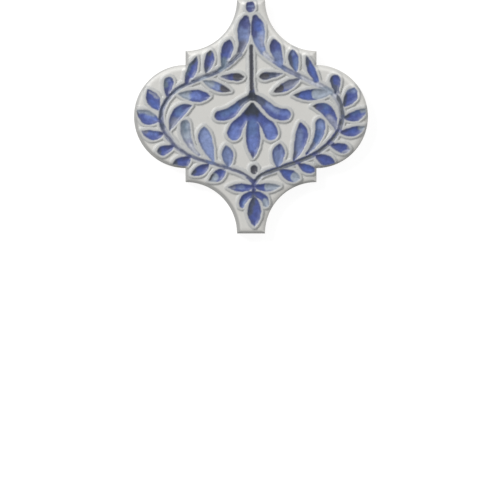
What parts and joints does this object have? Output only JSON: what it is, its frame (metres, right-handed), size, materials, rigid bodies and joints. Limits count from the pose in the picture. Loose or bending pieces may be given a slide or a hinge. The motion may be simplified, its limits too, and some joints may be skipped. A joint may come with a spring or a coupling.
{
  "type": "moroccan arabesque tile",
  "caption": "Interlocking arabesque wall tile with round side lobes and straight necks, its face pressed with ridged leaves and palmettes that hold cobalt-blue glaze on white.",
  "frame": {"origin": "middle of the tile's back, on the floor that it lies on", "axes": "+X to the right and +Y up the tile as it hangs on a wall, +Z straight out of the glazed face"},
  "size_m": [0.15, 0.15, 0.0109],
  "materials": {
    "glazed_body": "glossy off-white glaze with cobalt-blue glaze pooled in the leaves, bare fired clay on the back"
  },
  "bodies": {
    "root": {"arabesque_tile": "glazed_body"}
  },
  "joints": []
}
